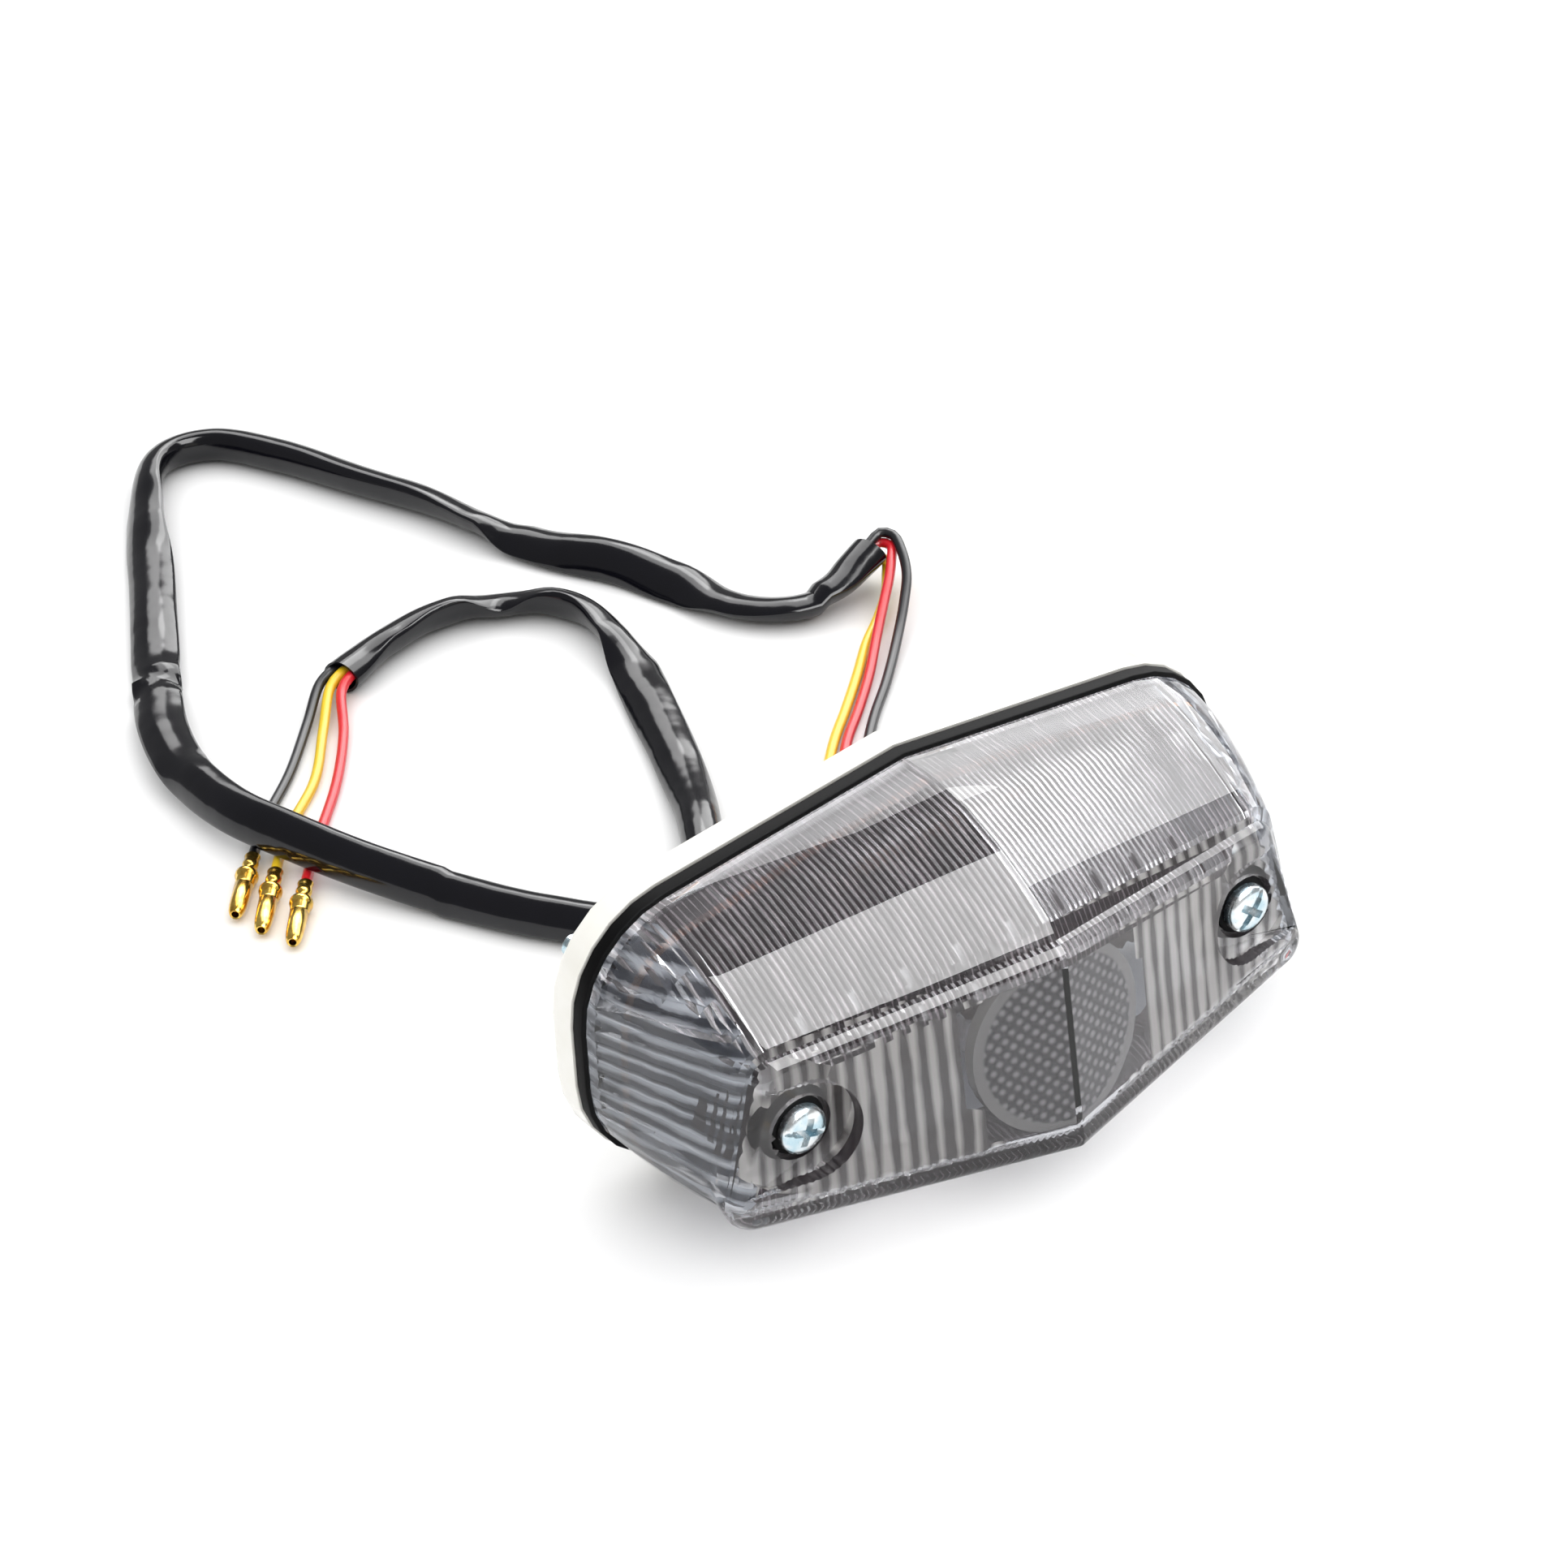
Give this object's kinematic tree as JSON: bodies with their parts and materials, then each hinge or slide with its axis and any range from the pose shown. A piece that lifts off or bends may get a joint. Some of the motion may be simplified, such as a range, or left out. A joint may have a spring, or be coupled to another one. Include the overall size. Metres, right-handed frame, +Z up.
{
  "type": "tail light",
  "caption": "Tapered hexagonal motorcycle tail light with a smoked lens, a pale base, through screws and a sleeved harness with bullet connectors.",
  "frame": {"origin": "on the surface that the light stands on, below the middle of the box round the light without its harness", "axes": "+Z up as mounted, lens towards -Y, mounting face towards +Y, +X along the width"},
  "size_m": [0.145, 0.2677, 0.0573],
  "materials": {
    "ivory_shell": "glossy moulded",
    "black_rubber": "matt moulded",
    "smoked_lens": "smoked transparent, polished",
    "clear_window": "clear, polished",
    "reflector": "prismatic",
    "board": "resin laminate",
    "zinc_steel": "bright zinc plated",
    "brass": "turned",
    "gold_brass": "bright plated",
    "clear_led": "water clear epoxy",
    "resistor_body": "lacquered",
    "dark_component": "moulded",
    "sleeve_vinyl": "soft vinyl, glossy",
    "yellow_wire": "extruded vinyl",
    "red_wire": "extruded vinyl",
    "black_wire": "extruded vinyl"
  },
  "bodies": {
    "housing": {"base_housing": "ivory_shell", "lens_gasket": "black_rubber", "threaded_bush_left": "brass", "threaded_bush_right": "brass", "led_board": "board", "board_screw_left": "zinc_steel", "board_screw_right": "zinc_steel", "tail_led_1": "clear_led", "tail_led_2": "clear_led", "tail_led_3": "clear_led", "tail_led_4": "clear_led", "tail_led_5": "clear_led", "tail_led_6": "clear_led", "tail_led_7": "clear_led", "tail_led_8": "clear_led", "tail_led_9": "clear_led", "tail_led_10": "clear_led", "tail_led_11": "clear_led", "tail_led_12": "clear_led", "plate_led_1": "clear_led", "plate_led_2": "clear_led", "plate_led_3": "clear_led", "resistor_1": "resistor_body", "resistor_2": "resistor_body", "resistor_3": "resistor_body", "supply_diode": "dark_component", "voltage_regulator": "dark_component", "wire_grommet": "black_rubber", "harness_sleeve": "sleeve_vinyl", "wire_yellow_near": "yellow_wire", "wire_red_near": "red_wire", "wire_black_near": "black_wire", "wire_yellow_far": "yellow_wire", "wire_red_far": "red_wire", "wire_black_far": "black_wire", "wire_yellow_inner": "yellow_wire", "wire_red_inner": "red_wire", "wire_black_inner": "black_wire", "bullet_yellow": "gold_brass", "bullet_red": "gold_brass", "bullet_black": "gold_brass"},
    "lens": {"smoked_lens": "smoked_lens", "plate_window": "clear_window", "round_reflector": "reflector", "sealing_washer_left": "black_rubber", "sealing_washer_right": "black_rubber"},
    "screw_left": {"lens_screw_left": "zinc_steel"},
    "screw_right": {"lens_screw_right": "zinc_steel"}
  },
  "joints": [
    {"name": "lens_lift_off", "type": "slide", "parent": "housing", "child": "lens", "axis": [0, -1, 0], "range_m": [0, 0.06]},
    {"name": "screw_left_turn", "type": "hinge", "parent": "lens", "child": "screw_left", "pos_m": [-0.0418, 0, 0.02525], "axis": [0, 1, 0], "continuous": true},
    {"name": "screw_right_turn", "type": "hinge", "parent": "lens", "child": "screw_right", "pos_m": [0.0418, 0, 0.02525], "axis": [0, 1, 0], "continuous": true}
  ]
}
